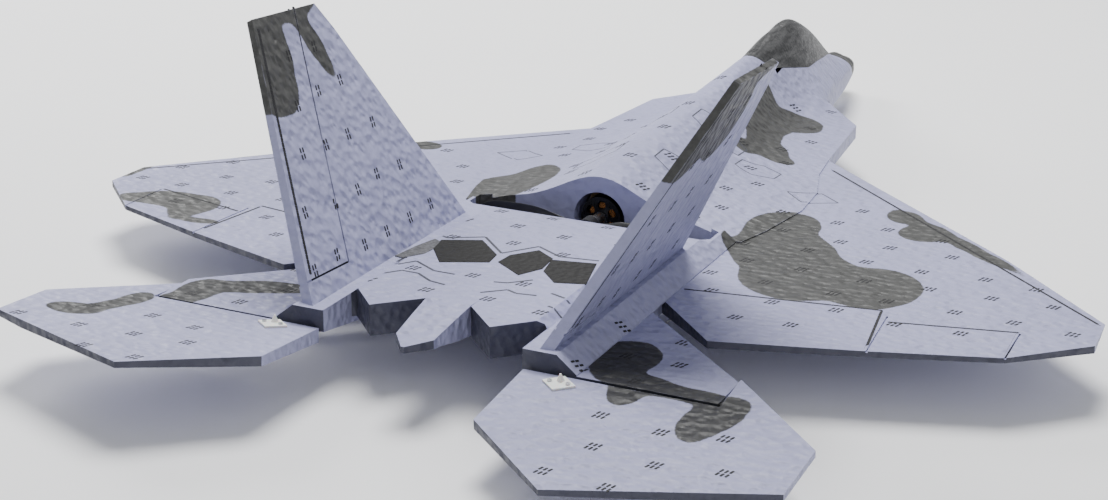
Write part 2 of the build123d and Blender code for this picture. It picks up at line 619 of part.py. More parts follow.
def make_clevis():
    """Nylon clevis: a fork over the horn, its own pin, and a threaded barrel on the wire."""
    gap = HORN_ARM_HALF + 0.35
    body = block(LINK_X - 2.9, LINK_X + 2.9, HINGE_Y - 2.6, HINGE_Y + 14, ROD_Z - 2.4, ROD_Z + 2.4)
    body = body - block(LINK_X - gap, LINK_X + gap, HINGE_Y - 4, HINGE_Y + 9, ROD_Z - 4, ROD_Z + 4)
    barrel_part = rod((LINK_X, HINGE_Y + 14, ROD_Z), (LINK_X, HINGE_Y + 22, ROD_Z), 2.0)
    pin = rod((LINK_X - gap, HINGE_Y, ROD_Z), (LINK_X + gap, HINGE_Y, ROD_Z), CLEVIS_PIN_RADIUS)
    wire_room = rod((LINK_X, HINGE_Y + 16, ROD_Z), (LINK_X, HINGE_Y + 24, ROD_Z), ROD_RADIUS)
    return body + barrel_part + pin - wire_room


servo = make_servo()
servo_arm = make_servo_arm()
pushrod = make_pushrod()
clevis = make_clevis()
arm_screw = rod((86.6, SERVO_Y, HINGE_Z), (ARM_X1, SERVO_Y, HINGE_Z), 1.2)
arm_screw = arm_screw + rod((ARM_X1, SERVO_Y, HINGE_Z), (ARM_X1 + 0.8, SERVO_Y, HINGE_Z), 2.0)
servo_arm = servo_arm - arm_screw
servo_screws = []
for y in (SERVO_BACK_Y - 2.4, SERVO_FRONT_Y + 2.4):
    shank = rod((68, y, HINGE_Z), (77.2, y, HINGE_Z), 0.9)
    servo_screws.append(shank + rod((77.2, y, HINGE_Z), (78.4, y, HINGE_Z), 1.9))
servo_room = block(SERVO_X0, SERVO_X1, SERVO_BACK_Y, SERVO_FRONT_Y, BODY_FLOOR_Z - 3, HINGE_Z + SERVO_HALF)
servo_room = servo_room + block(74.8, SERVO_X1, SERVO_BACK_Y - 4.7, SERVO_FRONT_Y + 4.7, BODY_FLOOR_Z - 3,
                                HINGE_Z + SERVO_HALF)
servo_room = servo_room + block(SERVO_X1, 91.5, SERVO_Y - 8, SERVO_Y + 8, BODY_FLOOR_Z - 3, HINGE_Z + 6)
for screw in servo_screws:
    servo_room = servo_room + screw
fuselage = fuselage - servo_room - mirrored(servo_room)

# ---------------------------------------------------------------- fins
FIN_UP = Vector(sin(radians(FIN_CANT)), 0, cos(radians(FIN_CANT)))
FIN_PLANE = Plane(origin=(FIN_ROOT_X, 0, BOOM_Z), x_dir=(0, 1, 0), z_dir=(cos(radians(FIN_CANT)), 0, -sin(radians(FIN_CANT))))
FIN_TOP = 160.0
FIN_PLAN = [(-137.6, -5), (-66.6, FIN_TOP + 1.5), (-0.3, FIN_TOP - 2.5), (7.5, FIN_TOP - 21), (50.5, 0), (52, -5)]
RUDDER_TOP = (-21.2, FIN_TOP + 2)
RUDDER_FOOT = (-86.5, 9.5)
RUDDER_REAR = (-136, 11.5)


def fin_groove(start, end, face):
    """A cutter for an engraved line in one face of the fin."""
    run_y = end[0] - start[0]
    run_s = end[1] - start[1]
    length = sqrt(run_y ** 2 + run_s ** 2)
    middle = Pos((start[0] + end[0]) / 2, (start[1] + end[1]) / 2, face)
    return FIN_PLANE * middle * Rot(0, 0, degrees(atan2(run_s, run_y))) * Box(length + 1, 1.2, 1.6)


def fin_half_thickness(height):
    """Half the fin's thickness at a height along its slope."""
    return (FIN_THICK_ROOT + (FIN_THICK_TIP - FIN_THICK_ROOT) * height / FIN_TOP) / 2


def make_fin():
    """Starboard fin: a tapered plate with the rudder outline engraved on both faces."""
    face = make_face(Polyline(*FIN_PLAN, close=True))
    fin = extrude(FIN_PLANE * face, amount=FIN_THICK_ROOT / 2, both=True)
    for sign in (1, -1):
        low = FIN_PLANE.from_local_coords(Vector(0, 0, sign * FIN_THICK_ROOT / 2))
        normal = FIN_PLANE.z_dir * sign
        lean = (FIN_THICK_ROOT - FIN_THICK_TIP) / 2 / FIN_TOP
        cut_normal = (normal + FIN_UP * lean).normalized()
        fin = split(fin, bisect_by=Plane(origin=low, z_dir=cut_normal), keep=Keep.BOTTOM)
    for sign in (1, -1):
        middle = sign * fin_half_thickness(85)
        foot = sign * fin_half_thickness(10)
        fin = fin - fin_groove(RUDDER_TOP, RUDDER_FOOT, middle)
        fin = fin - fin_groove(RUDDER_FOOT, RUDDER_REAR, foot)
    return fin


fin = make_fin()
fuselage = fuselage - fin - mirrored(fin)
fuselage = fuselage.solids().sort_by(SortBy.VOLUME)[-1]

# ---------------------------------------------------------------- motor and propeller
CAN_REAR_Y = 104.5
CAN_FRONT_Y = 121.5
STATOR_SLOTS = 12


def along_y(start, end, radius):
    """A round bar on the motor axis."""
    return rod((0, start, PROP_Z), (0, end, PROP_Z), radius)


def around_motor(shape, count, offset=0.0):
    """Copies of a shape spaced evenly round the motor axis."""
    copies = []
    for step in range(count):
        turn = Rot(0, offset + 360 * step / count, 0)
        copies.append(Pos(0, 0, PROP_Z) * turn * Pos(0, 0, -PROP_Z) * shape)
    return copies


mount_plate = block(-21, 21, MOUNT_PLATE_Y, 129, PROP_Z - 17, PROP_Z + 17)
mount_plate = mount_plate - along_y(MOUNT_PLATE_Y - 1, 130, 4.0)
mount_plate = mount_plate - block(-7, 7, MOUNT_PLATE_Y - 1, 130, PROP_Z - 18, PROP_Z - 12.2)
mount_screws = []
for angle in (45, 135, 225, 315):
    dx = 8.5 * cos(radians(angle))
    dz = 8.5 * sin(radians(angle))
    shank = rod((dx, 123.5, PROP_Z + dz), (dx, 129, PROP_Z + dz), 1.0)
    mount_screws.append(shank + rod((dx, 129, PROP_Z + dz), (dx, 130.6, PROP_Z + dz), 1.8))

stator = along_y(123, MOUNT_PLATE_Y, 11.5) + along_y(106.8, 123, 5.2)
tooth = block(-1.1, 1.1, 108, 121, PROP_Z + 4.6, PROP_Z + 10.4)
shoe = block(-2.0, 2.0, 108, 121, PROP_Z + 10.0, PROP_Z + 11.2)
for piece in around_motor(tooth + shoe, STATOR_SLOTS):
    stator = stator + piece
stator = stator - along_y(100, 130, 2.4)
for screw in mount_screws:
    stator = stator - screw
    mount_plate = mount_plate - screw

coil = block(-1.9, 1.9, 107, 122, PROP_Z + 6.0, PROP_Z + 9.6) - block(-1.1, 1.1, 100, 130, PROP_Z, PROP_Z + 20)
coil = coil + block(-1.9, 1.9, 106.9, 108, PROP_Z + 6.0, PROP_Z + 9.6)
coil = coil + block(-1.9, 1.9, 121, 122.1, PROP_Z + 6.0, PROP_Z + 9.6)
windings = around_motor(coil, STATOR_SLOTS)

can = along_y(CAN_REAR_Y, CAN_FRONT_Y, MOTOR_RADIUS) - along_y(106.2, CAN_FRONT_Y + 1, 12.4)
vent = Pos(0, CAN_REAR_Y, PROP_Z + 8.7) * Rot(90, 0, 0) * Cylinder(2.9, 8)
for piece in around_motor(vent, 6):
    can = can - piece
can = can - along_y(100, 110, 1.6)
shaft = along_y(76.2, 127, 1.6)
adapter = along_y(89.6, 104.0, 4.2) - along_y(80, 110, 1.6)
prop_washer = along_y(89.0, 89.6, 6.0) - along_y(80, 110, 1.6)
adapter = adapter + prop_washer
nut_plane = Plane(origin=(0, 76.9, PROP_Z), z_dir=(0, 1, 0))
prop_nut = extrude(nut_plane * RegularPolygon(4.2, 6), amount=3.6) - along_y(70, 90, 1.6)


def blade_section(radius, chord, thickness):
    """An oval blade section, turned to the propeller's pitch."""
    angle = atan2(PROP_PITCH, 2 * pi * radius)
    plane = Plane(origin=(radius, PROP_Y, PROP_Z), x_dir=(0, sin(angle), cos(angle)), z_dir=(1, 0, 0))
    return plane * Ellipse(chord / 2, thickness / 2)


BLADE_ROWS = [(5, 8, 5.0), (12, 10.5, 3.6), (24, 15, 2.6), (42, 17, 2.0), (60, 13.5, 1.6), (72, 8, 1.2),
              (PROP_RADIUS, 3, 0.8)]
blade = loft([blade_section(*row) for row in BLADE_ROWS])
blade_hub = along_y(80.5, 89.0, 6.0)
propeller = blade_hub + blade + Pos(0, 0, PROP_Z) * Rot(0, 180, 0) * Pos(0, 0, -PROP_Z) * blade
propeller = propeller - along_y(70, 100, 1.6)

# ---------------------------------------------------------------- electronics
battery = block(-15, 15, 402, 470, -22, -2)
battery = fillet(battery.edges().filter_by(Axis.Y), 3.0)
strap = block(-16.2, 16.2, 428, 444, -22, -0.8) - block(-15, 15, 420, 450, -30, -2)
strap = strap - battery
esc = fillet(block(-12, 12, 205, 250, -33, -24).edges().filter_by(Axis.Y), 1.5)
receiver = fillet(block(-10.5, 10.5, 285, 325, -33, -20).edges().filter_by(Axis.Y), 1.0)
connector = block(-8, 8, 352, 372, -33, -25)
motor_leads = []
for dx in (-5.0, 0.0, 5.0):
    motor_leads.append(wire([(dx, 124.5, -13.2), (dx, 150, -13.2), (dx, 180, -28.5), (dx, 205, -28.5)], LEAD_RADIUS))
battery_leads = []
for dx in (-3.2, 3.2):
    battery_leads.append(wire([(dx, 402, -12), (dx, 388, -12), (dx, 379, -29), (dx, 372, -29)], LEAD_RADIUS))
esc_leads = []
for dx, side_x in ((-3.2, 13.5), (3.2, 17.5)):
    route = [(dx, 250, -28.5), (dx, 257, -28.5), (side_x, 280, -28.5), (side_x, 325, -28.5), (dx, 345, -28.5),
             (dx, 352, -28.5)]
    esc_leads.append(wire(route, LEAD_RADIUS))
LEAD_Z = -7.4
SERVO_LEAD_ROUTE = [(66, SERVO_FRONT_Y + 0.1, LEAD_Z), (66.5, 56, LEAD_Z), (88.2, 76, LEAD_Z), (88.2, 108, LEAD_Z),
                    (66, 131, LEAD_Z), (22, 134.5, LEAD_Z), (19, 165, -14), (19, 262, -16), (6, 284.2, -25)]
servo_lead = wire(SERVO_LEAD_ROUTE, 1.0)
CHANNEL_ROUTE = SERVO_LEAD_ROUTE[:7]
channel = wire(CHANNEL_ROUTE, 1.25)
for drop in (0.9, 1.8):
    channel = channel + Pos(0, 0, -drop) * wire(CHANNEL_ROUTE, 1.25)
fuselage = fuselage - channel - mirrored(channel)

# ---------------------------------------------------------------- sub-parts in place
def shifted(shape, turn):
    """Moves the linkage as the servo arm swings by a turn about +X."""
    angle = radians(turn)
    return Pos(0, LINK_RADIUS * sin(angle), LINK_RADIUS * (1 - cos(angle))) * shape


def group(shapes):
    """Several separate solids as one node."""
    return Compound(children=[piece for shape in shapes for piece in Compound(shape.wrapped).solids()])


bearings = [along_y(y, y + 2.4, 2.4) - along_y(y - 1, y + 4, 1.65) for y in (107.0, 123.4)]
magnet_block = block(-2.1, 2.1, 107.5, 121, PROP_Z + 11.65, PROP_Z + 12.15)
rotor_magnets = around_motor(magnet_block, 14)

keep("fuselage", fuselage)
keep("belly_pan", belly)
keep("canopy_hatch", hatch)
keep("hatch_magnets", group(hatch_magnets))
keep("body_magnets", group(body_magnets))
keep("main_spar", main_spar)
keep("rear_spar", rear_spar)
keep("hinge_leaves_fixed", group(fixed_leaves + [mirrored(leaf) for leaf in fixed_leaves]))
keep("hinge_pins", group(hinge_pins + [mirrored(pin) for pin in hinge_pins]))
keep("servo_screws", group(servo_screws + [mirrored(screw) for screw in servo_screws]))
keep("motor_plate", mount_plate)
keep("motor_screws", group(mount_screws))
keep("motor_stator", stator)
keep("motor_windings", group(windings))
keep("motor_bearings", group(bearings))
keep("esc", esc)
keep("receiver", receiver)
keep("battery", battery)
keep("battery_strap", strap)
keep("battery_connector", connector)
keep("motor_leads", group(motor_leads))
keep("battery_leads", group(battery_leads))
keep("esc_leads", group(esc_leads))


def on_prop_axis(shape):
    """Turns a rotor piece to the propeller's rest angle."""
    return Pos(0, 0, PROP_Z) * Rot(0, PROP_REST_TURN, 0) * Pos(0, 0, -PROP_Z) * shape


keep("motor_can", on_prop_axis(can))
keep("motor_magnets", on_prop_axis(group(rotor_magnets)))
keep("motor_shaft", on_prop_axis(shaft))
keep("prop_adapter", on_prop_axis(adapter))
keep("propeller", on_prop_axis(propeller))
keep("prop_nut", on_prop_axis(prop_nut))

for side, place, turn in (("right", lambda shape: shape, TAIL_RIGHT_REST), ("left", mirrored, TAIL_LEFT_REST)):
    keep(f"wing_{side}", place(wing))
    keep(f"fin_{side}", place(fin))
    keep(f"stab_{side}", place(stab))
    keep(f"servo_{side}", place(servo))
    keep(f"servo_lead_{side}", place(servo_lead))
    keep(f"tail_{side}", turned(place(tail), turn, HINGE_Y, HINGE_Z))
    keep(f"hinge_leaves_{side}", turned(place(group(moving_leaves)), turn, HINGE_Y, HINGE_Z))
    keep(f"horn_{side}", turned(place(horn), turn, HINGE_Y, HINGE_Z))
    keep(f"horn_cap_{side}", turned(place(horn_cap), turn, HINGE_Y, HINGE_Z))
    keep(f"horn_screws_{side}", turned(place(group(horn_screws)), turn, HINGE_Y, HINGE_Z))
    keep(f"servo_arm_{side}", turned(place(servo_arm), turn, SERVO_Y, HINGE_Z))
    keep(f"arm_screw_{side}", turned(place(arm_screw), turn, SERVO_Y, HINGE_Z))
    keep(f"pushrod_{side}", shifted(place(pushrod), turn))
    keep(f"clevis_{side}", shifted(place(clevis), turn))

os.makedirs("parts", exist_ok=True)
for name, shape in NODES.items():
    export_step(Pos(0, SHIFT_Y, LIFT) * shape, f"parts/{name}.step")
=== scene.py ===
import math
import random
from functools import partial

import bpy
from mathutils import Matrix, Vector
from mathutils.bvhtree import BVHTree


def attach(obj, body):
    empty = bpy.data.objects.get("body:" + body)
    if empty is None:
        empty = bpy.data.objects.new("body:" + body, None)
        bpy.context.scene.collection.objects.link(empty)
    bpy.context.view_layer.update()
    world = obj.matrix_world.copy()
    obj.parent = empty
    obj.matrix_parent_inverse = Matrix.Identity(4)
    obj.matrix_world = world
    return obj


# Looks for the foam jet: sprayed foam skins, moulded marks and panel lines, fittings, studio and camera.
# Outlines are written in millimetres on the drawing: X to starboard, Y forward, Z up, zero on the wing top.

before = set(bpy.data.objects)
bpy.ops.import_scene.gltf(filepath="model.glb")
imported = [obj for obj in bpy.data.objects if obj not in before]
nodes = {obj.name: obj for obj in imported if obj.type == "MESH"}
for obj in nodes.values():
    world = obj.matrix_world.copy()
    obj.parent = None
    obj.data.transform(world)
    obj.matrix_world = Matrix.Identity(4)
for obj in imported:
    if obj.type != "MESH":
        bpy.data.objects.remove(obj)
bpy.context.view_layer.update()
rng = random.Random(7)

MM = 0.001
DRAWING_ORIGIN = Vector((0, -0.18575, 0.038))
DOWN = Vector((0, 0, -1))
STARBOARD = Vector((1, 0, 0))
FORWARD = Vector((0, 1, 0))


def place(x, y, z=0.0):
    """A point of the drawing, in millimetres, as a point of the frame in metres."""
    return Vector((x, y, z)) * MM + DRAWING_ORIGIN


def shade(colour, factor):
    """The colour made lighter or darker by a factor."""
    return tuple(channel * factor for channel in colour)


# ---------------------------------------------------------------- shader building

WAVE_PERIOD = 0.314             # width of one band of the wave texture at scale 1
CELL_SMOOTHNESS = 0.6
EDGE_FLAT, EDGE_SHARP = 0.98, 0.75      # how closely two normals agree on open surface and on an edge


class Finish:
    """One procedural material, with short calls that add nodes to it."""

    def __init__(self, name):
        self.material = bpy.data.materials.new(name)
        self.material.use_nodes = True
        self.tree = self.material.node_tree
        self.surface = self.tree.nodes["Principled BSDF"]
        self.coords = self.add("ShaderNodeTexCoord").outputs
        self.place = self.coords["Object"]

    def feed(self, socket, value):
        if isinstance(value, bpy.types.NodeSocket):
            self.tree.links.new(value, socket)
        else:
            socket.default_value = value

    def add(self, kind, settings=None, inputs=None):
        node = self.tree.nodes.new(kind)
        for key, value in (settings or {}).items():
            setattr(node, key, value)
        for key, value in (inputs or {}).items():
            self.feed(node.inputs[key], value)
        return node

    def math(self, operation, *values):
        return self.add("ShaderNodeMath", {"operation": operation}, dict(enumerate(values))).outputs[0]

    def times(self, first, second):
        return self.math("MULTIPLY", first, second)

    def parts(self, vector):
        return self.add("ShaderNodeSeparateXYZ", None, {"Vector": vector}).outputs

    def noise(self, size_mm, detail=2.0, vector=None, rough=0.5):
        inputs = {
            "Vector": vector or self.place,
            "Scale": 1 / (size_mm * MM),
            "Detail": detail,
            "Roughness": rough,
        }
        return self.add("ShaderNodeTexNoise", None, inputs).outputs["Fac"]

    def wander(self, size_mm, reach_mm):
        """A noise that swings about zero, in metres, for fraying a border."""
        return self.times(self.math("SUBTRACT", self.noise(size_mm), 0.5), reach_mm * MM)

    def cells(self, size_mm, feature="SMOOTH_F1", vector=None):
        inputs = {"Vector": vector or self.place, "Scale": 1 / (size_mm * MM)}
        if feature == "SMOOTH_F1":
            inputs["Smoothness"] = CELL_SMOOTHNESS
        return self.add("ShaderNodeTexVoronoi", {"feature": feature}, inputs).outputs["Distance"]

    def waves(self, size_mm, direction, distortion=0.0):
        settings = {"wave_type": "BANDS", "bands_direction": direction, "wave_profile": "SIN"}
        inputs = {"Vector": self.place, "Scale": WAVE_PERIOD / (size_mm * MM), "Distortion": distortion}
        return self.add("ShaderNodeTexWave", settings, inputs).outputs["Fac"]

    def stretch(self, x, y, z):
        """The surface coordinates scaled along each axis, for marks that run one way."""
        inputs = {"Vector": self.place, "Scale": (x, y, z)}
        return self.add("ShaderNodeMapping", None, inputs).outputs["Vector"]

    def ramp(self, value, low, high, out_low=0.0, out_high=1.0):
        """A smooth step from out_low at low to out_high at high; low may be the larger of the two."""
        inputs = {
            "Value": value,
            "From Min": low,
            "From Max": high,
            "To Min": out_low,
            "To Max": out_high,
        }
        settings = {"interpolation_type": "SMOOTHSTEP"}
        return self.add("ShaderNodeMapRange", settings, inputs).outputs["Result"]

    def mix(self, share, first, second):
        """The second colour laid over the first; 6, 7 and 2 are the node's colour sockets."""
        node = self.add("ShaderNodeMix", {"data_type": "RGBA"})
        self.feed(node.inputs["Factor"], share)
        for socket, value in ((node.inputs[6], first), (node.inputs[7], second)):
            self.feed(socket, (*value, 1) if isinstance(value, tuple) else value)
        return node.outputs[2]

    def bump(self, height, depth_mm, below=None):
        inputs = {"Height": height, "Distance": depth_mm * MM, "Strength": 1.0}
        if below is not None:
            inputs["Normal"] = below
        return self.add("ShaderNodeBump", None, inputs).outputs["Normal"]

    def facing(self, axis):
        """How far the flat face points along one of the object's own axes, from -1 to 1."""
        flat = self.add("ShaderNodeNewGeometry").outputs["True Normal"]
        settings = {"vector_type": "NORMAL", "convert_from": "WORLD", "convert_to": "OBJECT"}
        local = self.add("ShaderNodeVectorTransform", settings, {"Vector": flat}).outputs["Vector"]
        return self.parts(local)[axis]

    def edges(self, radius_mm):
        """1 on sharp edges, 0 on open surface."""
        bevel = self.add("ShaderNodeBevel", {"samples": 4}, {"Radius": radius_mm * MM})
        plain = self.add("ShaderNodeNewGeometry").outputs["Normal"]
        pair = {0: bevel.outputs["Normal"], 1: plain}
        same = self.add("ShaderNodeVectorMath", {"operation": "DOT_PRODUCT"}, pair).outputs["Value"]
        return self.ramp(same, EDGE_FLAT, EDGE_SHARP)

    def finish(self, colour, roughness, normal=None, **fixed):
        self.feed(self.surface.inputs["Base Color"], colour)
        self.feed(self.surface.inputs["Roughness"], roughness)
        if normal is not None:
            self.feed(self.surface.inputs["Normal"], normal)
        for name, value in fixed.items():
            self.surface.inputs[name.replace("_", " ")].default_value = value
        return self.material


# ---------------------------------------------------------------- foam skins

FOAM = (0.345, 0.35, 0.53)
FOAM_WORN = (0.44, 0.445, 0.60)
SPRAY = (0.058, 0.058, 0.056)
SPRAY_DARK = (0.032, 0.032, 0.032)
# Painted shade: foam faces that turn aft, behind the wing, are darkened as if out of the light.
AFT_FACE_SHADE = (0.020, 0.021, 0.032)
AFT_SHADE_FROM, AFT_SHADE_FULL = -0.42, -0.60       # how far a face must turn aft to take the painted shade of rear faces
AFT_SHADE_AHEAD_Y = -0.150                    # rear faces ahead of here, in metres, keep the foam's colour
AFT_SHADE_SHARE = 0.9
SPRAYED_FROM, SPRAYED_FULL = -0.35, -0.15   # undersides that face down past these stay unsprayed
PATCH_BLEND = 0.014                     # metres over which neighbouring ellipses melt together
PATCH_BORDER = 0.0004                   # half the width of a patch's border, in metres
DIMPLE_MM = 7.5
DIMPLE_SQUEEZE = (1.0, 1.45, 1.2)       # the lumps are this much shorter along X, Y and Z
DIMPLE_WAVER_SIZE = 1 / 110             # metres from one waver of their outlines to the next
DIMPLE_WAVER = 0.004

# Sprayed patches: each is a run of ellipses (centre, half sizes, turn in degrees) that melt together,
# in plan as (across, forward), and on the fins as seen from the side, (forward, up).
PATCHES = {
    "wing_right": [(113, 140, 23, 34, 0), (128, 98, 34, 44, 20), (152, 62, 38, 42, 0), (196, 62, 30, 36, 0),
                   (97, 98, 10, 9, 0), (222, 165, 64, 7, -39), (196, 172, 16, 16, 0), (176, 198, 10, 12, 20)],
    "wing_left": [(-270, 14, 30, 16, 0), (-298, 6, 14, 8, 0), (-253, 6, 13, 20, 0), (-233, -15, 14, 5, 10),
                  (-305, 107, 45, 5, 37), (-334, 66, 5, 26, 0), (-183, 200, 13, 10, 0)],
    "fuselage": [(48, 362, 17, 21, 0), (22, 354, 9, 18, 20), (37, 334, 13, 20, 0), (36, 308, 15, 18, 0),
                 (50, 284, 15, 20, 35), (66, 269, 10, 8, 0), (40, 262, 8, 9, 0), (-84, 124, 26, 34, 20),
                 (-70, 150, 16, 30, 10), (0, 604, 34, 30, 0), (113, 140, 23, 34, 0), (128, 98, 34, 44, 20),
                 (97, 98, 10, 9, 0)],
    "stab_right": [(107, -103, 20, 25, 0), (125, -130, 22, 10, 0), (150, -136, 28, 8, 0),
                   (168, -138, 14, 9, 0)],
    "tail_right": [(127, -148, 9, 12, 0), (150, -138, 36, 6, 0), (175, -161, 11, 21, 0),
                   (184, -149, 9, 15, 0)],
    "stab_left": [(-160, -122, 13, 20, 0), (-137, -104, 22, 10, 25), (-112, -94, 20, 8, 20),
                  (-165, -139, 10, 8, 0)],
    "tail_left": [(-204, -185, 17, 9, 0), (-190, -170, 7, 16, -20), (-184, -150, 8, 13, 0)],
    "fin_left": [(-66, 141, 22, 24, 0), (-76, 117, 22, 17, 0), (-30, 156, 40, 10, 0),
                 (-20, 132, 8, 22, 12)],
    "fin_right": [(-66, 141, 22, 24, 0), (-80, 117, 24, 19, 0), (-30, 156, 40, 12, 0),
                  (-38, 120, 22, 22, 20)],
}


def patch_mask(skin, outline, from_side):
    """1 inside the melted ellipses, 0 outside, with a slightly fuzzy sprayed border."""
    pair = {0: skin.place, 1: tuple(DRAWING_ORIGIN)}
    drawing = skin.add("ShaderNodeVectorMath", {"operation": "SUBTRACT"}, pair)
    parts = skin.parts(drawing.outputs["Vector"])
    across, up = (1, 2) if from_side else (0, 1)
    flat = skin.add("ShaderNodeCombineXYZ", None, {"X": parts[across], "Y": parts[up]})
    border = None
    for x, y, half_x, half_y, turn in outline:
        inputs = {
            "Vector": flat.outputs["Vector"],
            "Location": (x * MM, y * MM, 0),
            "Rotation": (0, 0, math.radians(turn)),
            "Scale": (half_x * MM, half_y * MM, 1),
        }
        mapped = skin.add("ShaderNodeMapping", {"vector_type": "TEXTURE"}, inputs).outputs["Vector"]
        reach = skin.add("ShaderNodeVectorMath", {"operation": "LENGTH"}, {0: mapped}).outputs["Value"]
        gap = skin.times(skin.math("SUBTRACT", reach, 1.0), min(half_x, half_y) * MM)
        border = gap if border is None else skin.math("SMOOTH_MIN", border, gap, PATCH_BLEND)
    border = skin.math("ADD", skin.math("ADD", border, skin.wander(22, 4)), skin.wander(1.2, 1))
    return skin.ramp(border, PATCH_BORDER, -PATCH_BORDER)


def foam_dimples(skin):
    """The lumps of moulded beads, widest across the body, with wavering outlines."""
    noise = skin.add("ShaderNodeTexNoise", None, {"Vector": skin.place, "Scale": 1 / DIMPLE_WAVER_SIZE})
    scale = {0: noise.outputs["Color"], "Scale": DIMPLE_WAVER}
    waver = skin.add("ShaderNodeVectorMath", {"operation": "SCALE"}, scale).outputs["Vector"]
    pair = {0: skin.stretch(*DIMPLE_SQUEEZE), 1: waver}
    moved = skin.add("ShaderNodeVectorMath", {"operation": "ADD"}, pair).outputs["Vector"]
    return skin.cells(DIMPLE_MM, vector=moved)


def foam_skin(name, spray):
    """Moulded bead foam: pebbled, satin, blue-grey, with sprayed patches, paler rubbed edges and painted
    shade on faces turned aft.
    """
    skin = Finish("foam_" + name)
    drift = skin.noise(90, 3)
    fine = skin.noise(5, 4, rough=0.7)
    beads = skin.cells(3.4, "F1")
    upright = name.startswith("fin")
    colour = skin.mix(skin.ramp(drift, 0.3, 0.7), shade(FOAM, 0.93), shade(FOAM, 1.05))
    colour = skin.mix(skin.ramp(fine, 0.35, 0.75, 0.0, 0.35), colour, shade(FOAM, 0.8))
    if name in PATCHES:
        mask = patch_mask(skin, PATCHES[name], upright)
        if not upright:
            mask = skin.times(mask, skin.ramp(skin.facing(2), SPRAYED_FROM, SPRAYED_FULL))
        sprayed = skin.mix(skin.ramp(fine, 0.3, 0.7), shade(spray, 0.82), shade(spray, 1.2))
        colour = skin.mix(mask, colour, sprayed)
    rubbed = skin.times(skin.edges(0.9), skin.ramp(skin.noise(9, 4), 0.42, 0.62))
    colour = skin.mix(skin.times(rubbed, 0.5), colour, FOAM_WORN)
    if not upright:
        # Painted shade on the faces that turn aft, in place of the shadow they fall in.
        aft_facing_shade = skin.ramp(skin.facing(1), AFT_SHADE_FROM, AFT_SHADE_FULL)
        aft = skin.ramp(skin.parts(skin.place)["Y"], AFT_SHADE_AHEAD_Y + 0.004, AFT_SHADE_AHEAD_Y)
        colour = skin.mix(skin.times(skin.times(aft_facing_shade, aft), AFT_SHADE_SHARE), colour, AFT_FACE_SHADE)
    normal = skin.bump(beads, 0.14)
    normal = skin.bump(foam_dimples(skin), 2.0, normal)
    normal = skin.bump(skin.noise(26, 3), 2.6, normal)
    roughness = skin.ramp(fine, 0.2, 0.8, 0.40, 0.60)
    return skin.finish(colour, roughness, normal, Specular_IOR_Level=0.35)


def canopy_skin():
    """Dark grey pebbled foam with brushed fore-and-aft streaks."""
    skin = Finish("canopy_foam")
    streaks = skin.noise(3.0, 4, skin.stretch(1.0, 0.16, 0.45), 0.65)
    fine = skin.noise(2.2, 3)
    colour = skin.mix(skin.ramp(streaks, 0.35, 0.7), (0.020, 0.020, 0.021), (0.075, 0.075, 0.076))
    colour = skin.mix(skin.ramp(fine, 0.55, 0.8, 0.0, 0.5), colour, (0.12, 0.12, 0.12))
    rubbed = skin.times(skin.edges(0.8), skin.ramp(skin.noise(7, 3), 0.4, 0.65))
    colour = skin.mix(skin.times(rubbed, 0.5), colour, (0.2, 0.2, 0.21))
    normal = skin.bump(skin.cells(3.0), 0.35)
    normal = skin.bump(streaks, 0.5, normal)
    return skin.finish(colour, skin.ramp(fine, 0.2, 0.8, 0.30, 0.50), normal)


def painted_foam(name, colour):
    """Pebbled foam in one sprayed colour with thin and rubbed places."""
    skin = Finish(name)
    fine = skin.noise(2.5, 4, rough=0.7)
    tone = skin.mix(skin.ramp(fine, 0.35, 0.7), shade(colour, 0.7), shade(colour, 1.5))
    rubbed = skin.times(skin.edges(0.8), skin.ramp(skin.noise(6, 3), 0.45, 0.65))
    tone = skin.mix(skin.times(rubbed, 0.6), tone, shade(colour, 3))
    normal = skin.bump(skin.cells(4.0), 1.4, skin.bump(fine, 0.3))
    roughness = skin.ramp(fine, 0.2, 0.8, 0.65, 0.85)
    return skin.finish(tone, roughness, normal, Specular_IOR_Level=0.25)


# ---------------------------------------------------------------- fittings

def moulded(name, colour, roughness, grain_mm=0.8, depth_mm=0.02, spread=0.15, worn=None, **fixed):
    """A moulded or wrapped surface: slight colour drift, fine grain, rubbed edges."""
    skin = Finish(name)
    drift = skin.noise(grain_mm * 12, 3)
    grain = skin.noise(grain_mm, 3)
    tone = skin.mix(skin.ramp(drift, 0.3, 0.7), shade(colour, 1 - spread), shade(colour, 1 + spread))
    rubbed = skin.times(skin.edges(0.25), skin.ramp(skin.noise(3, 3), 0.4, 0.6, 0.2, 0.8))
    tone = skin.mix(rubbed, tone, worn or tuple(min(1, c * 1.5 + 0.04) for c in colour))
    rough = skin.ramp(grain, 0.3, 0.7, roughness * 0.8, min(1, roughness * 1.25))
    return skin.finish(tone, rough, skin.bump(grain, depth_mm), **fixed)


def brushed(name, colour, roughness):
    """A drawn or turned metal with fine lines and darker handling marks."""
    skin = Finish(name)
    lines = skin.noise(0.25, 3, skin.stretch(1, 1, 0.05))
    marks = skin.noise(5, 4)
    tone = skin.mix(skin.ramp(marks, 0.45, 0.75), colour, shade(colour, 0.6))
    rough = skin.ramp(lines, 0.3, 0.7, roughness * 0.7, roughness * 1.3)
    return skin.finish(tone, rough, skin.bump(lines, 0.015), Metallic=1.0)


def woven(name, dark, light, pitch_mm, roughness, **fixed):
    """Crossing yarns, for the carbon tube and the battery strap, with the yarns' crowns painted lighter than
    the hollows: painted sheen and painted shade.
    """
    skin = Finish(name)
    along, across = skin.waves(pitch_mm, "DIAGONAL"), skin.waves(pitch_mm, "X")
    yarns = skin.math("MAXIMUM", along, across)
    tone = skin.mix(skin.ramp(yarns, 0.3, 0.9), dark, light)
    rough = skin.ramp(skin.noise(2, 3), 0.3, 0.7, roughness * 0.8, roughness * 1.2)
    return skin.finish(tone, rough, skin.bump(yarns, 0.08), **fixed)


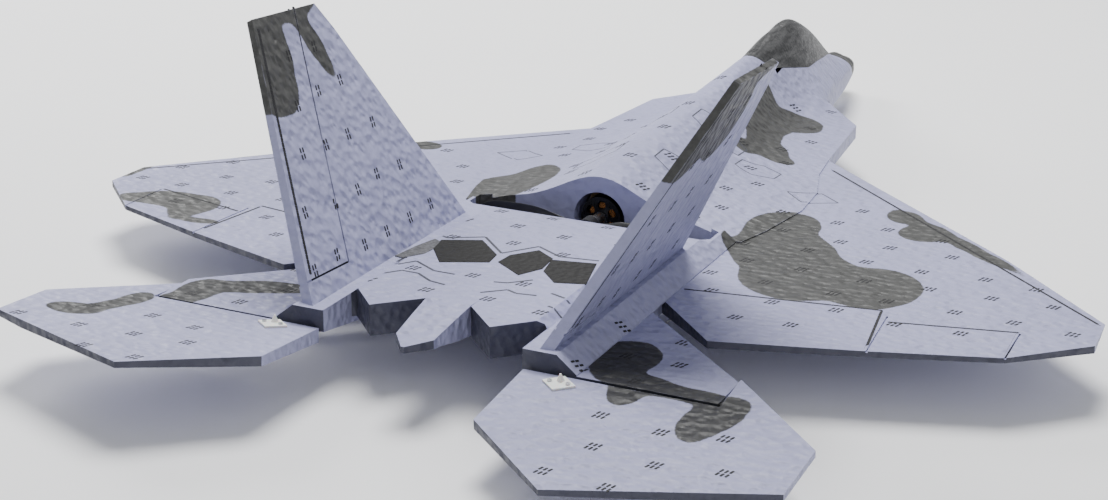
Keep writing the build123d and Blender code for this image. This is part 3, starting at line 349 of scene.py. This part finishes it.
def copper_wire():
    """Turns of lacquered wire, darker between the turns and brighter on them: painted shade and painted
    highlight.
    """
    skin = Finish("winding_wire")
    turns = skin.waves(0.45, "Z", distortion=0.6)
    tone = skin.mix(skin.ramp(turns, 0.2, 0.8), (0.20, 0.055, 0.015), (0.82, 0.36, 0.13))
    rough = skin.ramp(skin.noise(1, 2), 0.3, 0.7, 0.2, 0.4)
    return skin.finish(tone, rough, skin.bump(turns, 0.15), Metallic=1.0)


def plywood():
    """Birch ply with grain along X and darker plies."""
    skin = Finish("birch_ply")
    grain = skin.noise(1.4, 5, skin.stretch(0.12, 1, 1), 0.7)
    tone = skin.mix(skin.ramp(grain, 0.35, 0.7), (0.50, 0.33, 0.17), (0.68, 0.50, 0.30))
    plies = skin.times(skin.waves(1.0, "Y"), 0.35)
    tone = skin.mix(plies, tone, (0.30, 0.18, 0.08))
    return skin.finish(tone, skin.ramp(grain, 0.3, 0.7, 0.5, 0.7), skin.bump(grain, 0.05))


SIDES = ("left", "right")


def both(*names):
    return [f"{name}_{side}" for name in names for side in SIDES]


FINISHES = [
    (["canopy_hatch", "nose_cap"], canopy_skin()),
    (["main_spar", "rear_spar"], woven("carbon_tube", (0.006, 0.006, 0.007), (0.05, 0.05, 0.055), 1.2, 0.25,
                                       Coat_Weight=0.6)),
    (both("horn", "horn_cap", "clevis", "servo_arm", "hinge_leaves") + ["hinge_leaves_fixed"],
     moulded("white_nylon", (0.80, 0.80, 0.77), 0.42, spread=0.05, worn=(0.72, 0.71, 0.67),
             Subsurface_Weight=0.15, Subsurface_Scale=0.002)),
    (["hinge_pins", "servo_screws", "motor_screws", "motor_bearings", "motor_shaft"]
     + both("pushrod", "horn_screws", "arm_screw"), brushed("plain_steel", (0.56, 0.56, 0.57), 0.28)),
    (["hatch_magnets", "body_magnets", "motor_magnets"], brushed("nickel_plate", (0.66, 0.65, 0.62), 0.16)),
    (both("servo"), moulded("servo_case", (0.02, 0.07, 0.24), 0.22, depth_mm=0.01, Coat_Weight=0.3)),
    (["motor_plate"], plywood()),
    (["motor_windings"], copper_wire()),
    (["motor_can", "motor_stator"], brushed("black_anodised", (0.035, 0.035, 0.038), 0.35)),
    (["prop_adapter", "prop_nut"], brushed("satin_aluminium", (0.72, 0.72, 0.73), 0.30)),
    (["propeller"], moulded("glass_nylon", (0.016, 0.016, 0.018), 0.38, worn=(0.09, 0.09, 0.09))),
    (["battery"], moulded("battery_film", (0.03, 0.055, 0.22), 0.20, 4.0, 0.25, Coat_Weight=0.5)),
    (["battery_strap"], woven("strap_weave", (0.008, 0.008, 0.009), (0.04, 0.04, 0.042), 0.9, 0.85)),
    (["esc"], moulded("shrink_sleeve", (0.018, 0.018, 0.02), 0.25, 3.0, 0.20, Coat_Weight=0.4)),
    (["receiver"], moulded("receiver_case", (0.03, 0.03, 0.033), 0.5)),
    (["battery_connector"], moulded("connector_shell", (0.62, 0.42, 0.02), 0.35)),
    (["motor_leads", "battery_leads", "esc_leads"] + both("servo_lead"),
     moulded("silicone_wire", (0.02, 0.02, 0.021), 0.45, 1.0, 0.02)),
]
FOAM_NODES = ["fuselage", "belly_pan"] + both("wing", "fin", "stab", "tail")


def paint(name, material):
    piece = nodes[name]
    if not piece.material_slots:
        piece.data.materials.append(material)
    for slot in piece.material_slots:
        slot.material = material


for names, material in FINISHES:
    for name in names:
        paint(name, material)
for name in FOAM_NODES:
    paint(name, foam_skin(name, SPRAY_DARK if "tail" in name or "stab" in name else SPRAY))


# ---------------------------------------------------------------- marks laid on the skins

def surface_of(*names):
    """The given CAD nodes as one surface that rays can be dropped onto."""
    points, faces = [], []
    for name in names:
        mesh = nodes[name].data
        start = len(points)
        points += [v.co.copy() for v in mesh.vertices]
        faces += [[start + i for i in face.vertices] for face in mesh.polygons]
    return BVHTree.FromPolygons(points, faces)


TOP_SKIN = surface_of("fuselage", "canopy_hatch", *both("wing", "stab"))
REACH = 0.4
ABOVE_MM = 200


def land(skin, start, direction):
    """Where a ray onto the skin lands, and the way the skin faces there, or None."""
    spot, normal, _, _ = skin.ray_cast(start, direction, REACH)
    return (spot, normal) if spot is not None else None


def drop(skin, x, y):
    """The same for a ray straight down onto a point of the drawing's plan."""
    return land(skin, place(x, y, ABOVE_MM), DOWN)


def mesh_piece(name, points, faces, body, material):
    mesh = bpy.data.meshes.new(name)
    mesh.from_pydata(points, [], faces)
    mesh.update()
    piece = bpy.data.objects.new(name, mesh)
    bpy.context.scene.collection.objects.link(piece)
    mesh.materials.append(material)
    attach(piece, body)


STRIP_OUTLINE = [(-0.5, 0), (-0.38, 0.5), (0.38, 0.5), (0.5, 0), (0.38, -0.5), (-0.38, -0.5)]
STRIP_PROUD = 0.07
STRIP_SUNK = 0.25


class Marks:
    """Many small strips set into one body's skins, gathered into one mesh."""

    def __init__(self):
        self.points, self.faces = [], []

    def strip(self, centre, along, across, normal, length, width):
        """A strip with pointed ends lying on the skin."""
        start = len(self.points)
        for level in (STRIP_PROUD, -STRIP_SUNK):
            for a, b in STRIP_OUTLINE:
                offset = along * a * length + across * b * width + normal * level
                self.points.append(centre + offset * MM)
        count = len(STRIP_OUTLINE)
        self.faces.append([start + i for i in reversed(range(count))])
        for i in range(count):
            j = (i + 1) % count
            self.faces.append([start + i, start + j, start + count + j, start + count + i])


SLIT_LENGTH = 3.5
SLIT_WIDTH = 1.4
SLIT_SLANT = 20
COLUMN_PITCH = 2.6
ROW_PITCH = 1.9         # either side of the cluster's middle
ROW_SHIFT = 0.5
ROW_STRAY = 0.2
CLUSTER_TURN = 8        # degrees that a cluster may turn either way
WING_COLUMNS = (-1, 0, 1)


def vent_cluster(marks, cast, centre, along, across, columns):
    """One steam-vent mark of the mould: two rows of short slanted slits, laid as strips whose near-black
    colour is painted shade.
    """
    turn = rng.uniform(-CLUSTER_TURN, CLUSTER_TURN)
    for row in (-1, 1):
        for column in columns:
            a = column * COLUMN_PITCH + row * ROW_SHIFT
            b = row * ROW_PITCH + rng.uniform(-ROW_STRAY, ROW_STRAY)
            landed = cast(centre + (along * a + across * b) * MM)
            if landed is None:
                continue
            spot, normal = landed
            angle = math.radians(90 - SLIT_SLANT + turn)
            slit = along * math.cos(angle) + across * math.sin(angle)
            slit = (slit - normal * slit.dot(normal)).normalized()
            marks.strip(spot, slit, normal.cross(slit), normal, SLIT_LENGTH, SLIT_WIDTH)


def inside(outline, x, y):
    """Whether a point lies inside a closed outline."""
    hit = False
    for (x0, y0), (x1, y1) in zip(outline, outline[1:] + outline[:1]):
        if (y0 > y) != (y1 > y) and x < x0 + (x1 - x0) * (y - y0) / (y1 - y0):
            hit = not hit
    return hit


VENT_PITCH = 37
VENT_ROW_PITCH = VENT_PITCH * 0.82
VENT_MARGIN = 6
VENT_STRAY = 4
UPWARD = 0.75           # skins steeper than this carry no vents
ABOVE_ALL = 0.24        # metres, higher than the fins


def vents_from_above(marks, skin, outline):
    """Vent marks on a staggered grid over an area of the drawing's plan, on the upward skins."""
    def cast(point):
        return land(skin, Vector((point.x, point.y, ABOVE_ALL)), DOWN)

    xs = [x for x, _ in outline]
    ys = [y for _, y in outline]
    row, y = 0, min(ys) + VENT_MARGIN
    while y < max(ys):
        x = min(xs) + (VENT_PITCH / 2 if row % 2 else VENT_MARGIN)
        while x < max(xs):
            px, py = x + rng.uniform(-VENT_STRAY, VENT_STRAY), y + rng.uniform(-VENT_STRAY, VENT_STRAY)
            if inside(outline, px, py):
                landed = drop(skin, px, py)
                if landed and landed[1].z > UPWARD:
                    vent_cluster(marks, cast, landed[0], STARBOARD, FORWARD, WING_COLUMNS)
            x += VENT_PITCH
        y += VENT_ROW_PITCH
        row += 1


WING_AREA = [(97, 180), (150, 215), (318, 84), (326, 40), (290, 6), (215, -14), (110, -22), (96, 0)]
BODY_AREA = [(-70, 108), (70, 108), (88, 180), (95, 300), (62, 400), (30, 470), (-30, 470), (-62, 400),
             (-95, 300), (-88, 180)]
DECK_AREA = [(-62, -100), (62, -100), (66, 60), (-66, 60)]
STAB_AREA = [(86, -134), (168, -134), (120, -52), (90, -20)]
TAIL_AREA = [(78, -150), (118, -238), (205, -242), (240, -182), (198, -148)]


def mirror(outline):
    return [(-x, y) for x, y in outline]


airframe_marks = Marks()
for area in (WING_AREA, mirror(WING_AREA), BODY_AREA, DECK_AREA, STAB_AREA, mirror(STAB_AREA)):
    vents_from_above(airframe_marks, TOP_SKIN, area)

# On a fin, points are given as (distance forward, height up the canted fin), in millimetres.
FIN_CANT = math.radians(28.6)
FIN_ROOT = (75.5, 10.4)
FIN_CLEAR = 0.02        # metres off the fin that its rays start
FIN_COLUMNS = (-0.5, 0.5)
FIN_AREA = [(-122, 12), (-66, 145), (-12, 145), (40, 20), (34, 12)]
FIN_VENT_START = (-118, 16)
FIN_VENT_PITCH = (27, 30)
FIN_VENT_STAGGER = 13   # every other row starts this much further forward
FIN_VENT_RAKE = 4       # and each row a little further forward than the one below
FIN_VENT_STRAY = 3
FIN_LINES = [[(-22, 160), (-86.5, 9.5)], [(-86.5, 9.5), (-127, 11.2)], [(-65, 155), (-125.5, 13)]]
FIN_LINE_STEP = 3.0
FIN_LINE_OVERLAP = 0.4
FIN_LINE_WIDTH = 2.2


class Fin:
    """One fin's surface, with the directions up along it and out from it."""

    def __init__(self, side, sign):
        self.skin = surface_of("fin_" + side)
        self.up = Vector((sign * math.sin(FIN_CANT), 0, math.cos(FIN_CANT)))
        self.out = Vector((sign * math.cos(FIN_CANT), 0, -math.sin(FIN_CANT)))
        self.root_x = sign * FIN_ROOT[0]

    def at(self, y, height):
        return place(self.root_x, y, FIN_ROOT[1]) + self.up * height * MM

    def cast(self, point, face):
        return land(self.skin, point + self.out * face * FIN_CLEAR, -self.out * face)

    def vents(self, marks):
        """Vent marks on both faces, on a staggered grid."""
        for face in (1, -1):
            for row in range(5):
                shift = row % 2 * FIN_VENT_STAGGER + row * FIN_VENT_RAKE
                for column in range(7):
                    y = FIN_VENT_START[0] + column * FIN_VENT_PITCH[0] + shift
                    y += rng.uniform(-FIN_VENT_STRAY, FIN_VENT_STRAY)
                    height = FIN_VENT_START[1] + row * FIN_VENT_PITCH[1]
                    height += rng.uniform(-FIN_VENT_STRAY, FIN_VENT_STRAY)
                    if inside(FIN_AREA, y, height):
                        cast = partial(self.cast, face=face)
                        vent_cluster(marks, cast, self.at(y, height), FORWARD, self.up, FIN_COLUMNS)

    def lines(self, marks):
        """The rudder's grooved outline on both faces, as a chain of short strips carrying the groove's
        painted shade.
        """
        for (y0, h0), (y1, h1) in FIN_LINES:
            along = (FORWARD * (y1 - y0) + self.up * (h1 - h0)).normalized()
            length = math.hypot(y1 - y0, h1 - h0)
            for face in (1, -1):
                for step in range(int(length / FIN_LINE_STEP)):
                    share = (step + 0.5) * FIN_LINE_STEP / length
                    point = self.at(y0 + (y1 - y0) * share, h0 + (h1 - h0) * share)
                    landed = self.cast(point, face)
                    if landed:
                        spot, normal = landed
                        across = normal.cross(along)
                        reach = FIN_LINE_STEP + FIN_LINE_OVERLAP
                        marks.strip(spot, along, across, normal, reach, FIN_LINE_WIDTH)


for side, sign in (("left", -1), ("right", 1)):
    fin = Fin(side, sign)
    fin.vents(airframe_marks)
    fin.lines(airframe_marks)

# Painted shade: the vent slits, cut grooves and rudder lines are near-black strips for the shadow inside
# them.
slit_and_groove_shade = moulded("vent_shadow", (0.012, 0.012, 0.014), 0.8, spread=0.3, worn=(0.03, 0.03, 0.03))
mesh_piece("vent_marks_airframe", airframe_marks.points, airframe_marks.faces, "airframe", slit_and_groove_shade)
for side, area in (("left", mirror(TAIL_AREA)), ("right", TAIL_AREA)):
    tail = "tail_" + side
    marks = Marks()
    vents_from_above(marks, surface_of(tail), area)
    mesh_piece("vent_marks_" + tail, marks.points, marks.faces, tail, slit_and_groove_shade)


# ---------------------------------------------------------------- panel lines and painted panels

LINE_STEP = 2.0
RIBBON_PROUD = 0.06
RIBBON_SUNK = 0.3
# A section's four points are numbered left top, left bottom, right top, right bottom; the next adds 4.
RIBBON_FACES = ((0, 2, 6, 4), (1, 5, 7, 3), (0, 4, 5, 1), (2, 3, 7, 6), (0, 1, 3, 2), (4, 6, 7, 5))


def ribbon(points, faces, path, width, closed=False):
    """A narrow band draped on the top skins along a path of the drawing's plan."""
    ends = path + path[:1] if closed else path
    for (x0, y0), (x1, y1) in zip(ends, ends[1:]):
        length = math.hypot(x1 - x0, y1 - y0)
        steps = max(1, int(length / LINE_STEP))
        side_x, side_y = -(y1 - y0) / length * width / 2, (x1 - x0) / length * width / 2
        sections = []
        for i in range(steps + 1):
            share = i / steps
            x, y = x0 + (x1 - x0) * share, y0 + (y1 - y0) * share
            pair = [drop(TOP_SKIN, x + side_x, y + side_y), drop(TOP_SKIN, x - side_x, y - side_y)]
            if None not in pair:
                sections.append(pair)
        for first, second in zip(sections, sections[1:]):
            start = len(points)
            for spot, normal in (*first, *second):
                points.append(spot + normal * RIBBON_PROUD * MM)
                points.append(spot - normal * RIBBON_SUNK * MM)
            faces += [[start + i for i in face] for face in RIBBON_FACES]


DECK_LINE_WIDTH = 1.7
HATCH_LINE_WIDTH = 0.9
GROOVE_WIDTH = 1.7
DIAMOND = [(92, 208), (112, 222), (128, 208), (106, 196)]
HEXAGON = [(-16, 8), (-16, -8), (0, -14), (16, -8), (16, 8), (0, 14)]


def hexagon(x, y, scale):
    return [(x + a * scale, y + b * scale) for a, b in HEXAGON]


# Zig-zag steps of the rear deck.
OPEN_LINES = [
    [(-65, -50), (-64, -10), (-59, -7), (-52, -10), (-34, 1), (-32, 2), (-10, -20), (5, 1), (24, -10),
     (48, -6)],
    [(-62, -74), (-55, -63), (-49, -55), (-32, -65), (-18, -65)],
    [(-61, -88), (-49, -73), (-38, -73), (-26, -81), (-15, -83)],
    [(8, -66), (16, -64), (27, -53)],
    [(9, -85), (21, -74), (28, -77), (40, -75)],
    [(46, -68), (60, -73)],
    [(53, -87), (63, -90)],
]
# Outlines of moulded access hatches, for both sides.
HATCHES = [DIAMOND, hexagon(62, 232, 0.9), hexagon(26, 250, 1.1), hexagon(30, 168, 1.0)]
# The flap, the aileron and the slat, drawn over the grooves that are cut for them.
GROOVE_LINES = [
    [(97, 9.9), (212.7, 28.7), (222, -32)],
    [(221.5, 12.7), (292, 29.8), (294, -8)],
    [(102, 276), (330, 63)],
]
line_points, line_faces = [], []
for path in OPEN_LINES:
    ribbon(line_points, line_faces, path, DECK_LINE_WIDTH)
for path in HATCHES:
    ribbon(line_points, line_faces, path, HATCH_LINE_WIDTH, closed=True)
    ribbon(line_points, line_faces, mirror(path), HATCH_LINE_WIDTH, closed=True)
groove_points, groove_faces = [], []
for path in GROOVE_LINES:
    ribbon(groove_points, groove_faces, path, GROOVE_WIDTH)
    ribbon(groove_points, groove_faces, mirror(path), GROOVE_WIDTH)
# Painted shade: the flap, aileron and slat grooves as dark strips for the shadow in them.
mesh_piece("groove_lines", groove_points, groove_faces, "airframe", slit_and_groove_shade)
# Painted shade: the engraved panel and hatch lines are dark strips for the shadow in them.
panel_line_shade = moulded("panel_line_shadow", (0.05, 0.052, 0.07), 0.8, spread=0.2, worn=(0.2, 0.2, 0.24))
mesh_piece("panel_lines", line_points, line_faces, "airframe", panel_line_shade)

# Dark plates of the rear deck, and the lighter one to port of them.
DECK_PANELS = [
    [(-51, -31), (-54, -15), (-31, -4), (-11, -24), (-9, -38), (-36, -51)],
    [(-5, -35), (-4, -21), (8, -5), (22, -15), (24, -34), (16, -50)],
    [(22, -17), (49, -11), (58, -46), (40, -52), (26, -37)],
]
DECK_PANEL_LIGHT = [(-65, -53), (-62, -31), (-58, -15), (-52.5, -18), (-50, -32), (-51, -42), (-59, -54)]
PANEL_RINGS = [(0.0, -0.5), (0.0, 0.12), (0.03, 0.35)]      # (share drawn in, height) from foot to top
DECK_BLACK = (0.014, 0.0135, 0.013)
DECK_GREY = (0.10, 0.10, 0.108)


def panel(outline, name, material):
    """A flat painted plate of the deck, standing slightly proud with a chamfered rim."""
    middle_x = sum(x for x, _ in outline) / len(outline)
    middle_y = sum(y for _, y in outline) / len(outline)
    level = drop(TOP_SKIN, middle_x, middle_y)[0].z
    rings = []
    for inset, height in PANEL_RINGS:
        rings.append([place(x + (middle_x - x) * inset, y + (middle_y - y) * inset) for x, y in outline])
        for point in rings[-1]:
            point.z = level + height * MM
    count = len(outline)
    points = [point for ring in rings for point in ring]
    faces = [[2 * count + i for i in range(count)]]
    for low in (0, count):
        high = low + count
        for i in range(count):
            j = (i + 1) % count
            faces.append([low + i, low + j, high + j, high + i])
    mesh_piece(name, points, faces, "airframe", material)


for number, outline in enumerate(DECK_PANELS, 1):
    panel(outline, f"deck_panel_{number}", painted_foam(f"deck_paint_{number}", DECK_BLACK))
panel(DECK_PANEL_LIGHT, "deck_panel_4", painted_foam("deck_paint_4", DECK_GREY))


# ---------------------------------------------------------------- studio and camera

FLOOR_HALF = 12.0


def studio_floor():
    """A pale floor with a faint mottling."""
    skin = Finish("floor_paper")
    tone = skin.mix(skin.noise(300, 2), (0.91, 0.91, 0.92), (0.95, 0.95, 0.95))
    material = skin.finish(tone, 0.9)
    mesh = bpy.data.meshes.new("floor")
    corners = [(-1, -1), (1, -1), (1, 1), (-1, 1)]
    points = [(x * FLOOR_HALF, y * FLOOR_HALF, 0) for x, y in corners]
    mesh.from_pydata(points, [], [(0, 1, 2, 3)])
    mesh.materials.append(material)
    floor = bpy.data.objects.new("floor", mesh)
    bpy.context.scene.collection.objects.link(floor)


def soft_light(name, spot, target, size, power):
    """A round lamp aimed at a target, in metres and watts."""
    lamp = bpy.data.lights.new(name, "AREA")
    lamp.shape = "DISK"
    lamp.size = size
    lamp.energy = power
    light = bpy.data.objects.new(name, lamp)
    light.location = spot
    light.rotation_euler = (Vector(target) - Vector(spot)).to_track_quat("-Z", "Y").to_euler()
    bpy.context.scene.collection.objects.link(light)


studio_floor()
soft_light("overhead", (-0.3, 0.6, 2.2), (0, 0, 0), 1.3, 78)
soft_light("front_left", (-1.9, 0.9, 1.2), (0, 0, 0.05), 1.0, 30)
soft_light("behind_camera", (1.6, -2.2, 1.1), (0, 0, 0.05), 1.6, 9)

world = bpy.data.worlds.new("studio")
world.use_nodes = True
sky = world.node_tree.nodes["Background"].inputs
sky["Color"].default_value = (0.95, 0.97, 1.0, 1)
sky["Strength"].default_value = 0.45
bpy.context.scene.world = world

AZIMUTH = math.radians(25.83)
ELEVATION = math.radians(20.16)
ROLL = math.radians(0.31)
CAMERA_SPOT = (0.5189, -1.2576, 0.4752)
back = Vector((math.sin(AZIMUTH) * math.cos(ELEVATION), -math.cos(AZIMUTH) * math.cos(ELEVATION),
               math.sin(ELEVATION)))
level_right = Vector((math.cos(AZIMUTH), math.sin(AZIMUTH), 0))
level_up = back.cross(level_right)
right = level_right * math.cos(ROLL) + level_up * math.sin(ROLL)
up = level_up * math.cos(ROLL) - level_right * math.sin(ROLL)
FOCAL_MM = 67.45
SHIFT = (0.0208, 0.0171)
lens = bpy.data.cameras.new("photo_angle")
lens.sensor_width = 36
lens.lens = FOCAL_MM
lens.shift_x, lens.shift_y = SHIFT
lens.clip_end = 50
camera = bpy.data.objects.new("photo_angle", lens)
turn = Matrix((right, up, back)).transposed()
camera.matrix_world = Matrix.Translation(CAMERA_SPOT) @ turn.to_4x4()
bpy.context.scene.collection.objects.link(camera)
bpy.context.scene.camera = camera
